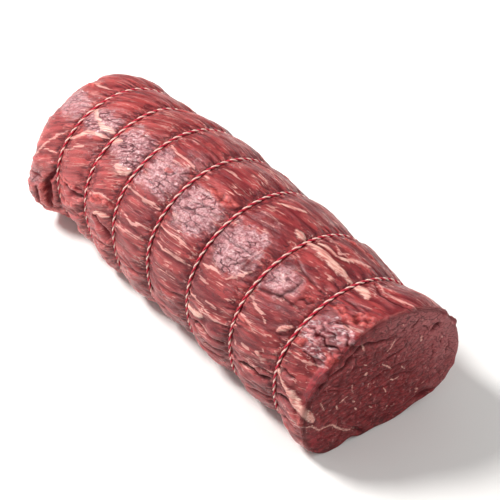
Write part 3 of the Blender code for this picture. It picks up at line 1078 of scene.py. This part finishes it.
class Beef(Surface):
    """Raw beef: the textures and masks that several of its layers share."""

    def __init__(self):
        super().__init__("raw_beef")
        self.grain = self.attribute("grain", "Vector")
        self.bundles = self.fibre_noise(24, 170, 3.0)
        self.fibres = self.fibre_noise(80, 950, 4.0, 0.62)
        self.patches = self.noise(self.grain, 75.0, 4.0)
        self.mottle = self.noise(self.grain, 520.0, 5.0, 0.75)
        self.grit = self.noise(self.grain, 1500.0, 4.0, 0.68)
        self.silver = self.attribute("silver")
        self.face = self.attribute("face")
        self.far = self.attribute("far")
        self.tangle = self.attribute("tangle")
        squeezed = self.wobble(self.stretch(self.grain, (1.0, 0.62, 1.0)), 300.0, 0.0016)
        self.cut_cells = self.cell_edges(squeezed, 330.0)
        self.rim = self.between(self.roughened(self.attribute("rim"), self.mottle, 0.9), 0.25, 0.9)
        strings = self.plus(self.times(self.fibres, 0.6), self.times(self.grit, 0.4))
        self.fat = self.between(self.roughened(self.attribute("fat"), strings, 1.9), 0.36, 0.86)
        # Hollows and deep places of the relief, where painted shade is laid.
        self.hollow = self.times(self.attribute("hollow"), self.between(self.fat, 0.0, 0.6, 1.0, 0.1))
        self.painted_deep_shade = self.between(self.roughened(self.attribute("painted_deep_shade"), self.grit, 0.5), 0.30, 0.80)

    def fibre_noise(self, along, across, detail, roughness=0.55):
        """Noise drawn out along the fibres, by its lumps per metre along and across them."""
        return self.noise(self.stretch(self.grain, (along, across, across)), 1.0, detail, roughness)


def muscle(s):
    """Muscle, with dark clefts between its bundles, pale threads along its fibres and painted shade in its
    valleys.
    """
    base = s.mix(s.between(s.bundles, 0.38, 0.62), colour(112, 19, 27), colour(166, 57, 57))
    base = s.over(base, s.between(s.fibres, 0.46, 0.68), 0.30, colour(190, 90, 86))
    base = s.over(base, s.between(s.patches, 0.48, 0.72), 0.6, colour(132, 28, 39))
    # Lighter, pinker tone towards the far end, which on the low front and lowest front is painted light.
    base = s.over(base, s.far, 0.28, colour(208, 88, 84))
    clefts = s.lines(s.fibre_noise(39, 390, 2.0, 0.5), 0.030)
    base = s.over(base, clefts, s.between(s.patches, 0.46, 0.56, 0.0, 0.8), colour(78, 8, 20))
    threads = s.fibre_noise(56, 950, 2.0, 0.5)
    sinews = s.lines(s.fibre_noise(24, 230, 3.0, 0.5), 0.022)
    pale = s.times(s.between(threads, 0.62, 0.66), s.between(s.bundles, 0.46, 0.58))
    pale = s.larger(pale, s.times(sinews, s.fall(s.patches, 0.42, 0.50)))
    pale = s.times(pale, s.between(s.far, 0.2, 1.0, 1.0, 0.45))
    streaks = s.plus(threads, s.times(s.attribute("streak"), 0.38))
    pale = s.larger(pale, s.between(streaks, 0.69, 0.76))
    base = s.over(base, pale, 0.78, colour(232, 172, 160))
    # Painted shade in the valleys between bundles, folds and wrinkles.
    return s.over(base, s.attribute("painted_valley_shade"), 0.6, colour(92, 13, 24))


def cut_face(s, base):
    """The cut face: short grain with small specks and dashes, a painted sheen on its upper right, and a
    crimson rim.
    """
    cloudy = s.between(s.noise(s.grain, 240.0, 5.0, 0.65), 0.36, 0.66)
    cut = s.mix(cloudy, colour(94, 10, 17), colour(142, 40, 44))
    # Painted sheen: the upper right of the cut face painted lighter.
    cut = s.over(cut, s.attribute("painted_sheen"), 0.7, colour(172, 98, 100))
    cut = s.over(cut, s.fall(s.cut_cells, 0.02, 0.07), 0.75, colour(52, 6, 12))
    specks = s.noise(s.stretch(s.grain, (1.0, 0.5, 1.0)), 520.0, 2.0)
    cut = s.over(cut, s.between(specks, 0.66, 0.72), 0.55, colour(206, 136, 132))
    dashes = s.noise(s.wobble(s.stretch(s.grain, (1.0, 1.0, 0.42)), 200.0, 0.003), 640.0, 1.0)
    cut = s.over(cut, s.between(dashes, 0.68, 0.73), 0.5, colour(206, 140, 136))
    uneven = s.plus(s.times(s.bundles, 0.5), s.times(s.mottle, 0.5))
    lip = s.mix(s.between(uneven, 0.42, 0.58), colour(90, 5, 19), colour(162, 28, 41))
    return s.over(s.mix(s.face, base, cut), s.rim, 0.85, lip)


def silverskin(s, base):
    """Silverskin: mottled, gritty and worn through in places."""
    veil = s.roughened(s.silver, s.noise(s.grain, 150.0, 5.0, 0.7), 1.5)
    skin = s.mix(s.between(s.mottle, 0.38, 0.62), colour(146, 62, 73), colour(216, 152, 157))
    skin = s.over(skin, s.fall(s.grit, 0.30, 0.42), 0.7, colour(112, 52, 62))
    return s.over(base, s.between(veil, 0.15, 0.75), 0.78, skin)


def dark_lines(s):
    """Cracks in the silverskin, wide and fine, and fold lines beside the twine drawn dark as painted shade.
    """
    wide = s.cell_edges(s.wobble(s.stretch(s.grain, (0.42, 1.0, 1.0)), 260.0, 0.0030), 210.0)
    fine = s.cell_edges(s.wobble(s.grain, 500.0, 0.0014), 420.0)
    cracks = s.times(s.fall(wide, 0.018, 0.044), s.between(s.patches, 0.41, 0.50))
    cracks = s.larger(cracks, s.times(s.fall(fine, 0.02, 0.06), 0.45))
    cracks = s.times(cracks, s.between(s.silver, 0.12, 0.5))
    # Fold lines beside the twine, darkened as painted shade.
    folds = s.times(s.lines(s.fibre_noise(60, 300, 2.0, 0.5), 0.035), s.attribute("painted_fold_shade"))
    return s.larger(cracks, s.times(folds, 0.9))


def torn_and_tangled(s, base):
    """Orange-red torn meat and the tangle of sinew, with painted glints on it."""
    shreds = s.mix(s.between(s.mottle, 0.4, 0.6), colour(150, 28, 34), colour(212, 92, 82))
    torn = s.roughened(s.attribute("torn"), s.grit, 1.0)
    base = s.over(base, s.between(torn, 0.30, 0.75), 0.8, shreds)
    # Painted glints: small white-pink highlights on the sinew.
    painted_glint = s.noise(s.wobble(s.stretch(s.grain, (0.3, 1.0, 1.0)), 260.0, 0.004), 620.0, 3.0, 0.6)
    sinew = s.mix(s.attribute("curl"), colour(140, 44, 56), colour(226, 150, 150))
    sinew = s.over(sinew, s.between(painted_glint, 0.53, 0.60), 0.8, colour(240, 204, 206))
    return s.over(base, s.between(s.roughened(s.tangle, s.mottle, 1.2), 0.3, 0.8), 0.75, sinew)


def fat_and_slits(s, base):
    """Cream fat, painted shade in the hollows, a painted highlight on ridges, and painted shade in the deep
    slits and gaps.
    """
    cream = s.mix(s.between(s.fibres, 0.36, 0.62), colour(208, 128, 118), colour(242, 202, 184))
    base = s.over(base, s.fat, 0.78, cream)
    # Painted shade in the hollows of the relief.
    base = s.over(base, s.hollow, 0.5, colour(78, 8, 18))
    # Painted highlight on the raised ridges of the relief, left off the rim.
    painted_ridge_highlight = s.between(s.rim, 0.0, 1.0, 0.22, 0.0)
    base = s.over(base, s.attribute("painted_ridge_highlight"), painted_ridge_highlight, colour(226, 128, 128))
    # Painted shade in the deep slits, creases, cracks and gaps, redder at the far end and in the tangle.
    painted_slit_shade = s.mix(s.larger(s.far, s.tangle), colour(66, 6, 14), colour(100, 11, 23))
    return s.over(base, s.painted_deep_shade, 0.88, painted_slit_shade)


def fine_relief(s, dark):
    """Relief finer than the mesh: fibres, grit, and the cracks in skin and cut face."""
    height = s.plus(s.times(s.fibres, 0.8), s.times(s.grit, 0.45))
    height = s.plus(height, s.times(s.times(s.mottle, s.silver), 0.8))
    height = s.minus(height, s.times(dark, 0.55))
    grooves = s.times(s.fall(s.cut_cells, 0.0, 0.12), s.face)
    return s.bump(s.minus(height, s.times(grooves, 0.3)), 0.0006)


def wet_coat(s, dark):
    """Wet silverskin and sinew shine; the cut face and the deep places shine little."""
    shiny = s.larger(s.times(s.tangle, 0.8), s.times(s.rim, 0.25))
    coat = s.larger(s.between(s.silver, 0.05, 0.6, 0.14, 1.0), shiny)
    coat = s.times(coat, s.between(s.minus(s.face, s.rim), 0.0, 1.0, 1.0, 0.1))
    return s.times(coat, s.between(s.larger(dark, s.painted_deep_shade), 0.1, 0.7, 1.0, 0.1))


def meat_material():
    """Raw beef: muscle, cut face, silverskin, torn meat, fat and slits, by the mesh's masks."""
    s = Beef()
    dark = dark_lines(s)
    base = silverskin(s, cut_face(s, muscle(s)))
    # Dark silverskin cracks, and painted shade in the fold lines beside the twine.
    base = s.over(base, dark, 0.92, colour(70, 13, 27))
    base = fat_and_slits(s, torn_and_tangled(s, base))
    normal = fine_relief(s, dark)
    rough = s.plus(s.between(s.patches, 0.3, 0.7, 0.24, 0.44), s.times(s.face, 0.2))
    rough = s.plus(rough, s.times(s.hollow, 0.25))
    s.set(Base_Color=base, Roughness=rough, Normal=normal, Coat_Normal=normal)
    s.set(Subsurface_Weight=0.06, Subsurface_Radius=(1.0, 0.28, 0.18), Subsurface_Scale=0.0012)
    s.set(Coat_Weight=wet_coat(s, dark), Coat_Roughness=0.16, Coat_IOR=1.85)
    s.set(IOR=1.45, Specular_IOR_Level=0.30)
    return s.material


def twine_material(name, light, dark):
    """A cotton strand with its own fine twist."""
    s = Surface(name)
    yarn = s.attribute("yarn", "Vector")
    fluff = s.noise(s.stretch(yarn, (900, 1.4, 1.4)), 1.0, 3.0)
    uneven = s.noise(s.stretch(yarn, (60, 0.2, 0.2)), 1.0, 2.0)
    base = s.mix(s.between(fluff, 0.3, 0.7), dark, light)
    base = s.over(base, s.between(uneven, 0.5, 0.8), 0.35, dark)
    s.set(Base_Color=base, Roughness=0.85, Normal=s.bump(fluff, 0.0003, 0.7), Sheen_Weight=0.15)
    return s.material


def floor_material():
    """A pale floor, almost one colour all over."""
    s = Surface("pale_floor")
    grain = s.noise(s.attribute("position", "Vector"), 3.0)
    s.set(Base_Color=s.mix(grain, colour(240, 239, 237), colour(244, 243, 241)), Roughness=0.9)
    return s.material


def make_floor():
    """A floor just below the joint, so that the two never share a surface."""
    bpy.ops.mesh.primitive_plane_add(size=FLOOR_SIZE, location=(0.0, 0.0, -FLOOR_DROP))
    floor = bpy.context.active_object
    floor.name = "floor"
    floor.data.materials.append(floor_material())


def aim(thing, direction):
    """Turns a light or camera so that it looks along a direction."""
    thing.rotation_euler = direction.to_track_quat("-Z", "Y").to_euler()


def make_lamp(name, direction, distance, width, power):
    """One round lamp, turned towards the middle."""
    lamp = bpy.data.lights.new(name, "AREA")
    lamp.shape = "DISK"
    lamp.size = width
    lamp.energy = power
    lamp.color = LAMP_COLOUR
    light = add_object(name, lamp)
    light.location = direction.normalized() * distance
    aim(light, -direction)


def make_light():
    """A key above the far end, a fill beyond the cut, a low lamp in front and a white sky."""
    make_lamp("key_light", *KEY)
    make_lamp("fill_light", *FILL)
    make_lamp("front_light", *FRONT)
    world = bpy.data.worlds.new("studio")
    world.use_nodes = True
    background = world.node_tree.nodes["Background"]
    background.inputs["Color"].default_value = (1.0, 1.0, 1.0, 1.0)
    background.inputs["Strength"].default_value = SKY_STRENGTH
    bpy.context.scene.world = world


def make_camera():
    """A camera at the photograph's viewing angle."""
    lens = bpy.data.cameras.new("camera")
    lens.sensor_width = SENSOR_WIDTH
    lens.lens = FOCAL_PIXELS / IMAGE_WIDTH * SENSOR_WIDTH
    lens.clip_start = 0.01
    camera = add_object("camera", lens)
    flat = math.cos(CAMERA_ELEVATION)
    back = Vector((
        math.sin(CAMERA_AZIMUTH) * flat,
        -math.cos(CAMERA_AZIMUTH) * flat,
        math.sin(CAMERA_ELEVATION),
    ))
    camera.location = CAMERA_TARGET + back * CAMERA_DISTANCE
    aim(camera, -back)
    bpy.context.scene.camera = camera


def cad_middle():
    """How far the part's source moved the shape so that its origin is under its middle."""
    low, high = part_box("twine_4")
    angle = np.linspace(0.0, 2 * math.pi, 44, endpoint=False)
    x = np.full_like(angle, LOOP_X[3])
    points = lay(x, angle, relief(x, angle), TWINE_HEIGHT, 1.0)
    middle = (points.min(axis=0) + points.max(axis=0)) / 2 - np.array((low + high) / 2)
    return np.array([middle[0], middle[1], 0.0])


def main():
    """Builds the camera, the light, the floor and the part."""
    bpy.context.scene.view_settings.view_transform = "Standard"
    make_camera()
    make_light()
    make_floor()
    middle = cad_middle()
    make_meat(middle, meat_material())
    red = twine_material("red_cotton", colour(212, 24, 60), colour(164, 10, 40))
    cream = twine_material("cream_cotton", colour(250, 220, 206), colour(236, 180, 170))
    for number, loop_x in enumerate(LOOP_X, start=1):
        make_twine(number, loop_x, middle, (red, cream))


main()
